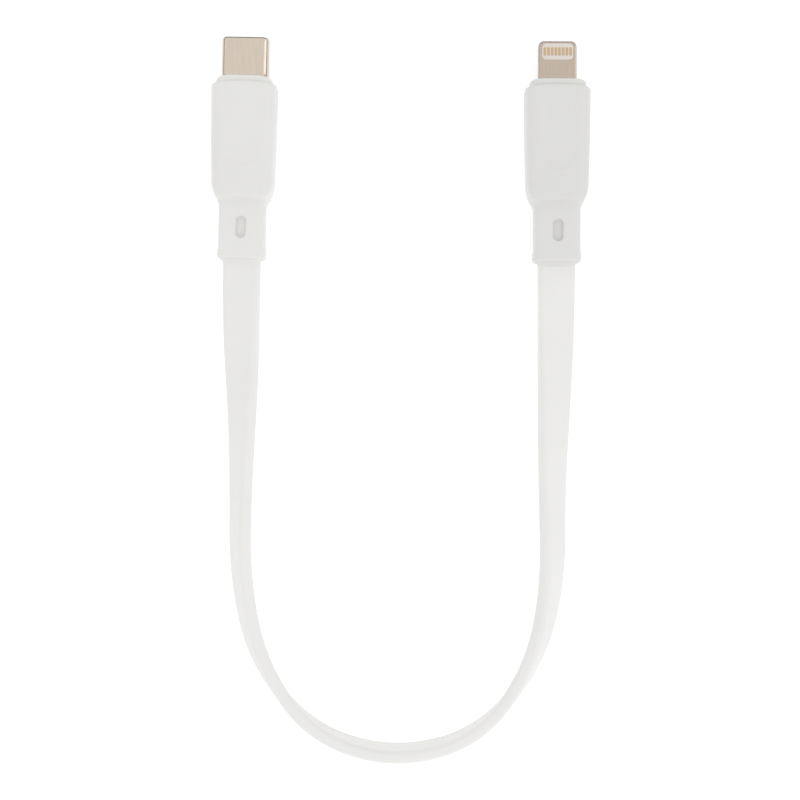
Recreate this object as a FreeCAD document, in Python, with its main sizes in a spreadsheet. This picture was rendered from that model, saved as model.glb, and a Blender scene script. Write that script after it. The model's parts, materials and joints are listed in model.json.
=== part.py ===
"""A short flat charging cable with a type C plug on one end and a flat eight-pin plug on the other.

Frame: millimetres. The cable lies on the surface z = 0 with +Z up. Both plugs point along +Y, the
type C plug at -X and the eight-pin plug at +X, and the flat cord loops away towards -Y. The origin is
under the middle of the two plugs' common box.

Each plug is built in a frame of its own: +Y is the plug's axis, towards the tip, y = 0 is the rear
face of the strain relief, where the cord comes out, and z = 0 is the plug's middle plane.
"""
import FreeCAD, Part
import math
import os
import Sketcher
from FreeCAD import Placement, Rotation, Vector

SIZES = {
    # where the plugs lie
    "c_exit_x": -27.69, "c_exit_y": -19.11, "c_lean": -1.1,
    "e_exit_x": 27.39, "e_exit_y": -19.69, "e_lean": -0.2,
    "plug_lift": 3.25,
    # outside of both plugs, from the cord to the tip
    "neck_width": 8.25, "neck_thick": 4.6, "neck_corner": 1.2,
    "flange_start": 13.25, "flange_length": 1.2, "flange_width": 9.9, "flange_thick": 4.8,
    "dimple_length": 3.8, "dimple_width": 1.9, "dimple_deep": 0.8, "dimple_at": 5.8,
    "grip_start": 8.3, "grip_rear": 10.3, "grip_end": 30.5, "grip_width": 11.5,
    "grip_tail_width": 10.9, "grip_thick": 6.5, "grip_round": 1.9, "shoulder_radius": 5.0,
    "panel_length": 13.6, "panel_width": 5.6, "panel_deep": 0.15, "panel_at": 22.6,
    "mould_start": 14.6, "mould_end": 32.1, "mould_width": 9.8, "mould_thick": 4.8,
    "mould_corner": 1.5, "fit_gap": 0.05, "collar_length": 0.8, "collar_width": 9.7,
    "collar_thick": 6.0, "lip_width": 9.2,
    # inside the mouldings
    "lead_slot_width": 6.4, "lead_slot_thick": 3.0, "lead_slot_corner": 0.6,
    "bay_start": 16.2, "bay_length": 13.1, "bay_width": 8.6, "bay_thick": 3.7, "bay_corner": 0.3,
    "can_start": 16.4, "can_length": 12.6, "can_width": 8.4, "can_thick": 3.5, "can_wall": 0.2,
    "board_start": 18.2, "board_end": 28.6, "board_width": 7.4, "board_thick": 0.8,
    "board_corner": 0.1, "solder_radius": 0.45, "solder_gap": 0.02,
    # type C connector
    "shell_start": 29.3, "shell_end": 38.75, "shell_width": 8.25, "shell_thick": 2.4,
    "shell_corner": 1.15, "shell_wall": 0.3, "insulator_end": 38.5, "insulator_gap": 0.03,
    "mouth_width": 6.8, "mouth_thick": 0.9, "mouth_deep": 5.6, "mouth_corner": 0.1,
    "pin_pitch": 0.5, "spring_width": 0.22, "spring_thick": 0.15, "spring_low": 0.46,
    "spring_bump": 0.27, "spring_tail": 27.4, "spring_bend": 33.2, "spring_peak": 37.2,
    "spring_tip": 38.0, "spring_tip_low": 0.42, "slot_width": 0.3, "slot_low": 0.4,
    "slot_end": 38.2,
    "latch_start": 29.6, "latch_end": 37.9, "latch_inside": 3.2, "latch_thick": 0.25,
    "latch_tall": 0.7, "latch_hook": 0.1, "hook_start": 36.3, "hook_peak": 37.2,
    "latch_slot_inside": 2.98, "latch_slot_tall": 0.86,
    # eight-pin connector
    "tab_start": 28.0, "tab_end": 38.7, "tab_width": 6.7, "tab_thick": 1.5, "tab_corner": 1.0,
    "tab_edge": 0.35, "root_start": 27.2, "root_length": 2.0, "root_width": 7.4, "root_thick": 1.9,
    "root_corner": 0.3, "tab_root_gap": 0.1, "window_width": 5.5, "window_length": 2.9,
    "window_corner": 0.7, "window_rim": 0.42, "carrier_gap": 0.02, "carrier_low": 0.02,
    "nose_width": 5.0, "nose_thick": 0.6, "nose_corner": 0.1, "nose_past": 0.7, "slot_past": 0.8,
    "pad_width": 0.38, "pad_length": 1.35, "pad_pitch": 0.64, "pad_proud": 0.02,
    "pad_slot_gap": 0.02,
    # cord
    "cord_width": 6.4, "cord_thick": 2.2, "cord_corner": 0.8, "cord_in_neck": 6.0,
    "hole_gap": 0.05, "power_offset": 2.15, "data_offset": 0.68,
    "power_wire": 1.2, "power_core": 0.72, "data_wire": 0.9, "data_core": 0.4, "wire_gap": 0.04,
    "lead_end": 17.8, "core_end": 19.6, "lead_rise": 0.86, "mould_rise": 0.45,
}

# The cord's middle line, from inside the type C neck to inside the eight-pin neck: x, y and the turn
# of the flat section about the line, in degrees. At 0 the broad face looks up, at 90 the cord stands
# on its edge.
ROUTE = [
    (-27.575, -13.11, 0), (-27.87, -28.5, 13), (-27.6, -44.0, 43), (-27.9, -59.0, 62),
    (-28.1, -74.5, 69), (-25.0, -89.5, 78), (-15.7, -102.0, 91), (-0.7, -106.6, 99),
    (14.4, -102.4, 90), (23.8, -89.7, 78), (26.9, -75.0, 60), (26.6, -60.0, 51),
    (27.0, -44.5, 34), (27.36, -29.0, 12), (27.41, -13.7, 0),
]
ARC_SHARE = 0.45    # how much of the shorter run beside a corner its arc takes up
ARC_STEP = 10.0     # degrees of a bend between two sections of the cord
RUN_STEP = 5.0      # millimetres of a straight run between two sections
OVAL = 0.47         # corner radius of an oval as a share of its width, a little under a half
# the springs' places in the two rows, counted in pitches from the middle
TYPE_C_UPPER_PINS = (-5.5, -2.5, -1.5, -0.5, 0.5, 2.5, 5.5)
TYPE_C_LOWER_PINS = (-5.5, -2.5, 1.5, 2.5, 5.5)
PAD_PLACES = (-3.5, -2.5, -1.5, -0.5, 0.5, 1.5, 2.5, 3.5)
# parts on a board: x, distance from its rear edge, top 1 or bottom -1, width, length, height
TYPE_C_CHIPS = [
    (0, 3.6, -1, 2.0, 2.0, 0.6), (-2.4, 3.8, -1, 0.5, 1.0, 0.35), (2.4, 3.8, -1, 0.5, 1.0, 0.35),
    (0, 4.2, 1, 1.0, 0.5, 0.35), (2.2, 4.2, 1, 0.6, 0.8, 0.45),
]
EIGHT_PIN_CHIPS = [
    (-1.4, 4.0, 1, 2.2, 2.6, 0.65), (1.6, 4.4, 1, 1.6, 1.6, 0.6), (0, 2.4, -1, 2.4, 2.0, 0.6),
    (-2.4, 5.6, -1, 0.5, 1.0, 0.35), (2.4, 5.6, -1, 0.5, 1.0, 0.35), (0, 6.0, -1, 1.0, 0.5, 0.35),
]

doc = FreeCAD.newDocument("charging_cable")
sheet = doc.addObject("Spreadsheet::Sheet", "dims")
nodes = []


class Size:
    """A length from the sheet, or sums and shares of such lengths, with the expression that gives it."""

    def __init__(self, number, text):
        self.number = number
        self.text = text

    def joined(self, other, sign, result):
        return Size(result, f"({self.text} {sign} {other.text})")

    def __add__(self, other):
        other = as_size(other)
        return self.joined(other, "+", self.number + other.number)

    def __sub__(self, other):
        other = as_size(other)
        return self.joined(other, "-", self.number - other.number)

    def __mul__(self, other):
        other = as_size(other)
        return self.joined(other, "*", self.number * other.number)

    def __truediv__(self, other):
        other = as_size(other)
        return self.joined(other, "/", self.number / other.number)

    def __neg__(self):
        return Size(-self.number, f"(-{self.text})")


def as_size(given):
    return given if isinstance(given, Size) else Size(float(given), f"{float(given)}")


def fill_sheet():
    for row, (alias, number) in enumerate(SIZES.items(), 1):
        sheet.set(f"A{row}", alias)
        sheet.set(f"B{row}", str(number))
        sheet.setAlias(f"B{row}", alias)
    doc.recompute()


def size(alias):
    return Size(float(sheet.get(alias)), f"{sheet.Name}.{alias}")


def bind(thing, prop, given):
    thing.setExpression(prop, as_size(given).text)


# ---------------------------------------------------------------- frames, bodies and sketches

def plug_place(plug):
    """The placement of one plug's own frame: plug is c for type C and e for eight-pin."""
    spot = Vector(SIZES[f"{plug}_exit_x"], SIZES[f"{plug}_exit_y"], SIZES["plug_lift"])
    return Placement(spot, Rotation(Vector(0, 0, 1), SIZES[f"{plug}_lean"]))


def bind_place(thing, plug):
    bind(thing, "Placement.Base.x", size(f"{plug}_exit_x"))
    bind(thing, "Placement.Base.y", size(f"{plug}_exit_y"))
    bind(thing, "Placement.Base.z", size("plug_lift"))
    thing.setExpression("Placement.Rotation.Angle", f"{sheet.Name}.{plug}_lean * 1 deg")


def keep(thing, name, plug):
    """Register a finished sub-part and put it in its plug's frame."""
    thing.Label = name
    thing.Placement = plug_place(plug)
    bind_place(thing, plug)
    nodes.append(thing)
    return thing


def new_body(name):
    return doc.addObject("PartDesign::Body", name + "_body")


def new_sketch(body, name, role, offset):
    """A sketch on one of the body's origin planes, moved along the plane's normal."""
    sketch = body.newObject("Sketcher::SketchObject", name)
    plane = next(f for f in body.Origin.OriginFeatures if f.Role == role)
    sketch.AttachmentSupport = [(plane, "")]
    sketch.MapMode = "FlatFace"
    bind(sketch, "AttachmentOffset.Base.z", offset)
    return sketch


def name_constraint(sketch, constraint, label, given):
    index = sketch.addConstraint(constraint)
    sketch.renameConstraint(index, label)
    bind(sketch, f"Constraints.{label}", given)


def draw_rounded(sketch, across, along, corner, right=0, up=0):
    """A rectangle with rounded corners whose middle is right and up of the sketch's origin."""
    across, along, corner, right, up = (as_size(v) for v in (across, along, corner, right, up))
    half_w, half_h, round_r = across.number / 2, along.number / 2, corner.number
    mid_x, mid_y = right.number, up.number
    flat_x, flat_y = half_w - round_r, half_h - round_r
    normal = Vector(0, 0, 1)

    def spot(x, y):
        return Vector(mid_x + x, mid_y + y, 0)

    def bend(x, y, start):
        circle = Part.Circle(spot(x, y), normal, round_r)
        return Part.ArcOfCircle(circle, math.radians(start), math.radians(start + 90))

    sketch.addGeometry(Part.LineSegment(spot(-flat_x, -half_h), spot(flat_x, -half_h)), False)
    sketch.addGeometry(bend(flat_x, -flat_y, -90), False)
    sketch.addGeometry(Part.LineSegment(spot(half_w, -flat_y), spot(half_w, flat_y)), False)
    sketch.addGeometry(bend(flat_x, flat_y, 0), False)
    sketch.addGeometry(Part.LineSegment(spot(flat_x, half_h), spot(-flat_x, half_h)), False)
    sketch.addGeometry(bend(-flat_x, flat_y, 90), False)
    sketch.addGeometry(Part.LineSegment(spot(-half_w, flat_y), spot(-half_w, -flat_y)), False)
    sketch.addGeometry(bend(-flat_x, -flat_y, 180), False)
    for piece in range(8):
        sketch.addConstraint(Sketcher.Constraint("Tangent", piece, 2, (piece + 1) % 8, 1))
    for line in (0, 4):
        sketch.addConstraint(Sketcher.Constraint("Horizontal", line))
    for line in (2, 6):
        sketch.addConstraint(Sketcher.Constraint("Vertical", line))
    for arc in (3, 5, 7):
        sketch.addConstraint(Sketcher.Constraint("Equal", 1, arc))
    radius = Sketcher.Constraint("Radius", 1, round_r)
    right_side = Sketcher.Constraint("DistanceX", -1, 1, 2, 1, mid_x + half_w)
    top_side = Sketcher.Constraint("DistanceY", -1, 1, 4, 1, mid_y + half_h)
    wide = Sketcher.Constraint("DistanceX", 6, 1, 2, 1, across.number)
    tall = Sketcher.Constraint("DistanceY", 0, 1, 4, 1, along.number)
    name_constraint(sketch, radius, "corner", corner)
    name_constraint(sketch, right_side, "right_side", right + across / 2)
    name_constraint(sketch, top_side, "top_side", up + along / 2)
    name_constraint(sketch, wide, "across", across)
    name_constraint(sketch, tall, "along", along)


def pad_along(body, name, start, length, across, thick, corner, right=0, up=0):
    """A rounded bar along +Y that starts at y = start."""
    sketch = new_sketch(body, name + "_outline", "XZ_Plane", -as_size(start))
    draw_rounded(sketch, across, thick, corner, right, up)
    pad = body.newObject("PartDesign::Pad", name)
    pad.Profile = sketch
    pad.Reversed = True
    bind(pad, "Length", length)
    return pad


def pocket_along(body, name, start, length, across, thick, corner, right=0, up=0):
    """A rounded hole along +Y that starts at y = start."""
    sketch = new_sketch(body, name + "_outline", "XZ_Plane", -as_size(start))
    draw_rounded(sketch, across, thick, corner, right, up)
    pocket = body.newObject("PartDesign::Pocket", name)
    pocket.Profile = sketch
    bind(pocket, "Length", length)
    return pocket


def sink_face(body, name, face_z, deep, across, along, corner, right, up, from_below=False):
    """A rounded pocket cut down from the top face at z = face_z, or up from the bottom one."""
    level = -as_size(face_z) if from_below else as_size(face_z)
    sketch = new_sketch(body, name + "_outline", "XY_Plane", level)
    draw_rounded(sketch, across, along, corner, right, up)
    pocket = body.newObject("PartDesign::Pocket", name)
    pocket.Profile = sketch
    pocket.Reversed = from_below
    bind(pocket, "Length", deep)
    return pocket


def box(name, low, extent):
    """A Part::Box from its low corner and its extent, both of them sizes."""
    block = doc.addObject("Part::Box", name)
    for prop, given in zip(("Length", "Width", "Height"), extent):
        bind(block, prop, given)
    for axis, given in zip("xyz", low):
        bind(block, f"Placement.Base.{axis}", given)
    return block


def group(name, pieces, plug):
    """Several separate solids that share one node."""
    bundle = doc.addObject("Part::Compound", name + "_set")
    bundle.Links = pieces
    return keep(bundle, name, plug)


def round_edges(body, base, name, radius, wanted):
    """Fillet the edges of a feature that wanted(edge) picks."""
    doc.recompute()
    picked = [f"Edge{i}" for i, edge in enumerate(base.Shape.Edges, 1) if wanted(edge)]
    fillet = body.newObject("PartDesign::Fillet", name)
    fillet.Base = (base, picked)
    bind(fillet, "Radius", radius)
    return fillet


# ---------------------------------------------------------------- outside of both plugs

def grip_outline(sketch):
    """The grip's plan: straight sides that widen towards the mouth, and a round shoulder on each side."""
    rear, front = size("grip_start"), size("grip_end")
    mouth, tail = size("grip_width") / 2, size("grip_tail_width") / 2
    bend = size("shoulder_radius")
    corner_x, corner_y = tail.number - bend.number, rear.number + bend.number

    def shoulder(side):
        start = -90 if side > 0 else 180
        circle = Part.Circle(Vector(side * corner_x, corner_y, 0), Vector(0, 0, 1), bend.number)
        return Part.ArcOfCircle(circle, math.radians(start), math.radians(start + 90))

    right_mouth, left_mouth = Vector(mouth.number, front.number, 0), Vector(-mouth.number, front.number, 0)
    right_tail, left_tail = Vector(tail.number, corner_y, 0), Vector(-tail.number, corner_y, 0)
    left_rear, right_rear = Vector(-corner_x, rear.number, 0), Vector(corner_x, rear.number, 0)
    sketch.addGeometry(Part.LineSegment(left_rear, right_rear), False)
    sketch.addGeometry(shoulder(1), False)
    sketch.addGeometry(Part.LineSegment(right_tail, right_mouth), False)
    sketch.addGeometry(Part.LineSegment(right_mouth, left_mouth), False)
    sketch.addGeometry(Part.LineSegment(left_mouth, left_tail), False)
    sketch.addGeometry(shoulder(-1), False)
    for piece in range(6):
        kind = "Tangent" if piece in (0, 5) else "Coincident"
        sketch.addConstraint(Sketcher.Constraint(kind, piece, 2, (piece + 1) % 6, 1))
    sketch.addConstraint(Sketcher.Constraint("Horizontal", 0))
    sketch.addConstraint(Sketcher.Constraint("Symmetric", 2, 2, 4, 1, -2))
    sketch.addConstraint(Sketcher.Constraint("Symmetric", 2, 1, 4, 2, -2))
    sketch.addConstraint(Sketcher.Constraint("Equal", 1, 5))
    name_constraint(sketch, Sketcher.Constraint("Radius", 1, bend.number), "bend", bend)
    heights = (("rear", 0, 1, rear), ("shoulder", 2, 1, rear + bend), ("front", 2, 2, front))
    for label, line, end, given in heights:
        along = Sketcher.Constraint("DistanceY", -1, 1, line, end, given.number)
        name_constraint(sketch, along, label, given)
    for label, end, given in (("mouth", 2, mouth), ("tail", 1, tail)):
        across = Sketcher.Constraint("DistanceX", -1, 1, 2, end, given.number)
        name_constraint(sketch, across, label, given)


def make_grip(plug, name):
    """The outer handle: a rounded sleeve, square at the rear, with a shallow oval panel on top."""
    body = new_body(name)
    thick, gap = size("grip_thick"), size("fit_gap")
    sketch = new_sketch(body, name + "_plan", "XY_Plane", -thick / 2)
    grip_outline(sketch)
    pad = body.newObject("PartDesign::Pad", name + "_block")
    pad.Profile = sketch
    bind(pad, "Length", thick)

    def long_edge(edge):
        middle = edge.valueAt((edge.FirstParameter + edge.LastParameter) / 2)
        on_face = abs(abs(middle.z) - thick.number / 2) < 0.01
        return on_face and middle.y < size("grip_end").number - 0.01

    round_edges(body, pad, name + "_soft_edges", size("grip_round"), long_edge)
    pocket_along(body, name + "_rear_cut", size("grip_start") - 1,
                 size("grip_rear") - size("grip_start") + 1, size("grip_width"), thick * 1.1, gap)
    pocket_along(body, name + "_neck_hole", size("grip_start") - 1, size("flange_start"),
                 size("neck_width") + gap, size("neck_thick") + gap, size("neck_corner"))
    pocket_along(body, name + "_bore", size("flange_start") - gap, size("grip_end"),
                 size("flange_width") + gap * 2, size("flange_thick") + gap * 2, size("mould_corner"))
    sink_face(body, name + "_panel", thick / 2, size("panel_deep"), size("panel_width"),
              size("panel_length"), size("panel_width") * OVAL, 0, size("panel_at"))
    return keep(body, name, plug)


def make_strain_relief(plug, name):
    """The soft neck: a sleeve round the cord, a flange that the grip holds, and two oval dimples."""
    body = new_body(name)
    flange_end = size("flange_start") + size("flange_length")
    pad_along(body, name + "_sleeve", 0, flange_end, size("neck_width"), size("neck_thick"),
              size("neck_corner"))
    pad_along(body, name + "_flange", size("flange_start"), size("flange_length"),
              size("flange_width"), size("flange_thick"), size("mould_corner"))
    gap = size("hole_gap")
    pocket_along(body, name + "_cord_hole", -1, flange_end + 2, size("cord_width") + gap * 2,
                 size("cord_thick") + gap * 2, size("cord_corner") + gap)
    for side, below in (("top", False), ("bottom", True)):
        sink_face(body, f"{name}_{side}_dimple", size("neck_thick") / 2, size("dimple_deep"),
                  size("dimple_width"), size("dimple_length"), size("dimple_width") * OVAL,
                  0, size("dimple_at"), below)
    return keep(body, name, plug)


def make_inner_mould(plug, name, width, thick, corner):
    """The hard inner moulding. In front of the grip it has a thick collar, and a thinner lip."""
    body = new_body(name)
    gap = size("fit_gap")
    start, end = size("mould_start"), size("mould_end")
    collar_start = size("grip_end") + gap
    pad_along(body, name + "_block", start, collar_start - start, size("mould_width"),
              size("mould_thick"), size("mould_corner"))
    pad_along(body, name + "_collar", collar_start, size("collar_length"), size("collar_width"),
              size("collar_thick"), size("mould_corner"))
    pad_along(body, name + "_lip", collar_start, end - collar_start, size("lip_width"),
              size("mould_thick"), size("mould_corner"))
    pocket_along(body, name + "_lead_slot", start - 1, size("bay_start") - start + 2,
                 size("lead_slot_width"), size("lead_slot_thick"), size("lead_slot_corner"))
    pocket_along(body, name + "_bay", size("bay_start"), size("bay_length"), size("bay_width"),
                 size("bay_thick"), size("bay_corner"))
    pocket_along(body, name + "_mouth", size("bay_start") + 1, end, width + gap, thick + gap, corner)
    return keep(body, name, plug)


# ---------------------------------------------------------------- inside both plugs

def make_can_half(plug, name, side):
    """One half of the stamped steel can round the board: side is 1 for the top, -1 for the bottom."""
    body = new_body(name)
    wall, start, half = size("can_wall"), size("can_start"), size("can_thick") / 2
    pad_along(body, name + "_outer", start, size("can_length"), size("can_width"), half, wall,
              0, half / 2 * side)
    pocket_along(body, name + "_inside", start - 1, size("can_length") + 2,
                 size("can_width") - wall * 2, (half - wall) * 2, wall / 2)
    return keep(body, name, plug)


def make_board(plug, name, end, nose_end=None):
    """The circuit board between the wires and the connector. A nose may reach into the connector."""
    body = new_body(name)
    start = size("board_start")
    pad_along(body, name + "_sheet", start, as_size(end) - start, size("board_width"),
              size("board_thick"), size("board_corner"))
    if nose_end is not None:
        pad_along(body, name + "_nose", start + 1, nose_end - start - 1, size("nose_width"),
                  size("nose_thick"), size("nose_corner"))
    return keep(body, name, plug)


def make_chips(plug, name, chips):
    """Parts on the board, as (x, distance from the board's rear, side, width, length, height)."""
    pieces = []
    face = size("board_thick") / 2
    for number, (x, along, side, wide, long, tall) in enumerate(chips, 1):
        low_z = face if side > 0 else -face - tall
        low = (x - wide / 2, size("board_start") + along, low_z)
        pieces.append(box(f"{name}_{number}", low, (wide, long, tall)))
    return group(name, pieces, plug)


def make_solder(plug, name):
    """Four solder domes, one at the end of each wire's core, on the top of the board."""
    pieces = []
    for number, offset in enumerate(wire_offsets(), 1):
        dome = doc.addObject("Part::Sphere", f"{name}_{number}")
        bind(dome, "Radius", size("solder_radius"))
        dome.Angle1 = 0
        bind(dome, "Placement.Base.x", offset)
        bind(dome, "Placement.Base.y", size("core_end") + size("solder_radius") + size("solder_gap"))
        bind(dome, "Placement.Base.z", size("board_thick") / 2)
        pieces.append(dome)
    return group(name, pieces, plug)


def wire_offsets():
    """Where the four wires lie across the flat cord, from one edge to the other."""
    power, data = size("power_offset"), size("data_offset")
    return [power, data, -data, -power]


# ---------------------------------------------------------------- type C connector

def make_type_c_shell():
    """The drawn metal tube that goes into the socket."""
    body = new_body("type_c_shell")
    start, end, wall = size("shell_start"), size("shell_end"), size("shell_wall")
    pad_along(body, "type_c_shell_outer", start, end - start, size("shell_width"),
              size("shell_thick"), size("shell_corner"))
    pocket_along(body, "type_c_shell_inside", start - 1, end, size("shell_width") - wall * 2,
                 size("shell_thick") - wall * 2, size("shell_corner") - wall)
    return keep(body, "type_c_shell", "c")


def make_type_c_insulator():
    """The insulator: a mouth for the socket's tongue, and slots for the springs and the latches."""
    body = new_body("type_c_insulator")
    inset = size("shell_wall") + size("insulator_gap")
    start, end = size("shell_start"), size("insulator_end")
    pad_along(body, "insulator_block", start, end - start, size("shell_width") - inset * 2,
              size("shell_thick") - inset * 2, size("shell_corner") - inset)
    pocket_along(body, "insulator_mouth", end - size("mouth_deep"), size("mouth_deep") + 1,
                 size("mouth_width"), size("mouth_thick"), size("mouth_corner"))
    inside, across = size("latch_slot_inside"), size("shell_width") / 2
    for side, word in ((-1, "left"), (1, "right")):
        pocket_along(body, f"insulator_{word}_slot", start - 1, end, across - inside,
                     size("latch_slot_tall"), size("mouth_corner"), (inside + across) / 2 * side, 0)
    slots = []
    slot_high = size("shell_thick") / 2
    for side, pins in ((1, TYPE_C_UPPER_PINS), (-1, TYPE_C_LOWER_PINS)):
        for number, place in enumerate(pins, 1):
            low_x = size("pin_pitch") * place - size("slot_width") / 2
            low_z = size("slot_low") if side > 0 else -slot_high
            extent = (size("slot_width"), size("slot_end") - start + 1, slot_high - size("slot_low"))
            word = "upper" if side > 0 else "lower"
            slots.append(box(f"{word}_slot_{number}", (low_x, start - 1, low_z), extent))
    cutter = doc.addObject("Part::Compound", "spring_slots")
    cutter.Links = slots
    cut = doc.addObject("Part::Cut", "insulator_with_slots")
    cut.Base = body
    cut.Tool = cutter
    return keep(cut, "type_c_insulator", "c")


def draw_polygon(sketch, corners):
    """A closed outline of straight sides. Each corner is a pair of sizes."""
    count = len(corners)
    spots = [Vector(x.number, y.number, 0) for x, y in corners]
    for index in range(count):
        sketch.addGeometry(Part.LineSegment(spots[index], spots[(index + 1) % count]), False)
    for index in range(count):
        following = (index + 1) % count
        sketch.addConstraint(Sketcher.Constraint("Coincident", index, 2, following, 1))
    for index, (x, y) in enumerate(corners):
        across = Sketcher.Constraint("DistanceX", -1, 1, index, 1, x.number)
        along = Sketcher.Constraint("DistanceY", -1, 1, index, 1, y.number)
        name_constraint(sketch, across, f"x{index}", x)
        name_constraint(sketch, along, f"y{index}", y)


def strip(name, sketch, direction, thick, shift):
    """A flat outline made into a solid strip, moved along its own thickness by shift."""
    solid = doc.addObject("Part::Extrusion", name)
    solid.Base = sketch
    solid.DirMode = "Custom"
    solid.Dir = direction
    solid.Solid = True
    bind(solid, "LengthFwd", thick)
    axis = "x" if direction.x else "z"
    bind(solid, f"Placement.Base.{axis}", shift)
    return solid


def make_spring_row(name, pins, side):
    """One row of contact springs. side is 1 for the upper row and -1 for the lower row."""
    low, thick = size("spring_low"), size("spring_thick")
    under = [(size("spring_tail"), low), (size("spring_bend"), low),
             (size("spring_peak"), size("spring_bump")), (size("spring_tip"), size("spring_tip_low"))]
    over = [(y, z + thick) for y, z in reversed(under)]
    sketch = doc.addObject("Sketcher::SketchObject", name + "_profile")
    sketch.Placement = Placement(Vector(0, 0, 0), Rotation(Vector(1, 1, 1), 120))
    draw_polygon(sketch, [(y, z * side) for y, z in under + over])
    wide = size("spring_width")
    strips = [strip(f"{name}_{number}", sketch, Vector(1, 0, 0), wide, size("pin_pitch") * place - wide / 2)
              for number, place in enumerate(pins, 1)]
    return group(name, strips, "c")


def make_latch(name, side):
    """A side latch: a flat spring arm with a hook at its tip that points inwards."""
    inside, hook = size("latch_inside"), size("latch_hook")
    outside = inside + size("latch_thick")
    start, end = size("latch_start"), size("latch_end")
    corners = [(inside, start), (outside, start), (outside, end), (inside, end),
               (inside - hook, size("hook_peak")), (inside, size("hook_start"))]
    sketch = doc.addObject("Sketcher::SketchObject", name + "_plan")
    draw_polygon(sketch, [(x * side, y) for x, y in corners])
    tall = size("latch_tall")
    return group(name, [strip(name + "_arm", sketch, Vector(0, 0, 1), tall, -tall / 2)], "c")


# ---------------------------------------------------------------- eight-pin connector

def window_middle():
    return size("tab_end") - size("window_rim") - size("window_length") / 2


def make_tab_frame():
    """The metal tab: a rounded tongue with a window through it, and a wider root in the moulding."""
    body = new_body("eight_pin_tab_frame")
    start, end, thick = size("tab_start"), size("tab_end"), size("tab_thick")
    sketch = new_sketch(body, "tab_plan", "XY_Plane", -thick / 2)
    draw_rounded(sketch, size("tab_width"), end - start, size("tab_corner"), 0, (start + end) / 2)
    pad = body.newObject("PartDesign::Pad", "tab_tongue")
    pad.Profile = sketch
    bind(pad, "Length", thick)

    def face_edge(edge):
        middle = edge.valueAt((edge.FirstParameter + edge.LastParameter) / 2)
        return abs(abs(middle.z) - thick.number / 2) < 0.01

    round_edges(body, pad, "tab_soft_edges", size("tab_edge"), face_edge)
    pad_along(body, "tab_root", size("root_start"), size("root_length"), size("root_width"),
              size("root_thick"), size("root_corner"))
    sink_face(body, "tab_window", thick, thick * 2, size("window_width"), size("window_length"),
              size("window_corner"), 0, window_middle())
    gap = size("carrier_gap")
    pocket_along(body, "tab_nose_slot", size("root_start") - 1, window_middle() - size("root_start") + 1,
                 size("nose_width") + gap * 2, size("nose_thick") + gap * 2, size("nose_corner"))
    return keep(body, "eight_pin_tab_frame", "e")


def contact_pads(name, side, extra):
    """Eight contact pads on one face of the tab, each longer and wider by extra."""
    pieces = []
    top = size("tab_thick") / 2 + size("pad_proud")
    tall = top - size("nose_thick") / 2 - size("carrier_gap")
    wide, long = size("pad_width") + extra, size("pad_length") + extra
    for number, place in enumerate(PAD_PLACES, 1):
        low_z = top - tall if side > 0 else -top
        low = (size("pad_pitch") * place - wide / 2, window_middle() - long / 2, low_z)
        pieces.append(box(f"{name}_{number}", low, (wide, long, tall)))
    return pieces


def make_contact_carrier():
    """The white insulator that fills the tab's window and holds the contacts on both faces."""
    body = new_body("eight_pin_contact_carrier")
    gap, thick = size("carrier_gap"), size("tab_thick") - size("carrier_low") * 2
    sketch = new_sketch(body, "carrier_plan", "XY_Plane", -thick / 2)
    draw_rounded(sketch, size("window_width") - gap * 2, size("window_length") - gap * 2,
                 size("window_corner") - gap, 0, window_middle())
    pad = body.newObject("PartDesign::Pad", "carrier_block")
    pad.Profile = sketch
    bind(pad, "Length", thick)
    slot_end = window_middle() + size("slot_past")
    pocket_along(body, "carrier_nose_slot", size("tab_start"), slot_end - size("tab_start"),
                 size("nose_width") + gap, size("nose_thick") + gap * 2, size("nose_corner"))
    extra = size("pad_slot_gap")
    cutter = doc.addObject("Part::Compound", "pad_slots")
    cutter.Links = contact_pads("upper_pad_slot", 1, extra) + contact_pads("lower_pad_slot", -1, extra)
    cut = doc.addObject("Part::Cut", "carrier_with_slots")
    cut.Base = body
    cut.Tool = cutter
    return keep(cut, "eight_pin_contact_carrier", "e")


# ---------------------------------------------------------------- cord

def cord_path():
    """The middle line as straight runs and tangent arcs: a list of edges, and each arc's radius."""
    spots = [Vector(x, y, SIZES["plug_lift"]) for x, y, _ in ROUTE]
    edges, radii, middles = [], [], [0.0]
    here, travelled = spots[0], 0.0
    for before, corner, after in zip(spots, spots[1:], spots[2:]):
        arriving, leaving = corner - before, after - corner
        turn = arriving.getAngle(leaving)
        shorter = min(arriving.Length, leaving.Length)
        reach = ARC_SHARE * shorter
        radius = reach / math.tan(turn / 2)
        first = corner - arriving.normalize() * reach
        last = corner + leaving.normalize() * reach
        inwards = (leaving - arriving).normalize()
        middle = corner + inwards * (radius / math.cos(turn / 2) - radius)
        edges.append(Part.LineSegment(here, first).toShape())
        edges.append(Part.Arc(first, middle, last).toShape())
        travelled += (first - here).Length
        middles.append(travelled + radius * turn / 2)
        travelled += radius * turn
        radii.append(radius)
        here = last
    edges.append(Part.LineSegment(here, spots[-1]).toShape())
    middles.append(travelled + (spots[-1] - here).Length)
    return edges, radii, middles


def twist_at(travelled, middles):
    """How far the flat section has turned about the line, in degrees."""
    held = SIZES["cord_in_neck"] + 0.5
    length = middles[-1]
    stops = [(0.0, 0.0), (held, 0.0)]
    stops += [(middles[i], ROUTE[i][2]) for i in range(1, len(ROUTE) - 1)]
    stops += [(length - held, 0.0), (length, 0.0)]
    for (low, low_turn), (high, high_turn) in zip(stops, stops[1:]):
        if travelled <= high:
            return low_turn + (high_turn - low_turn) * (travelled - low) / (high - low)
    return 0.0


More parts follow.
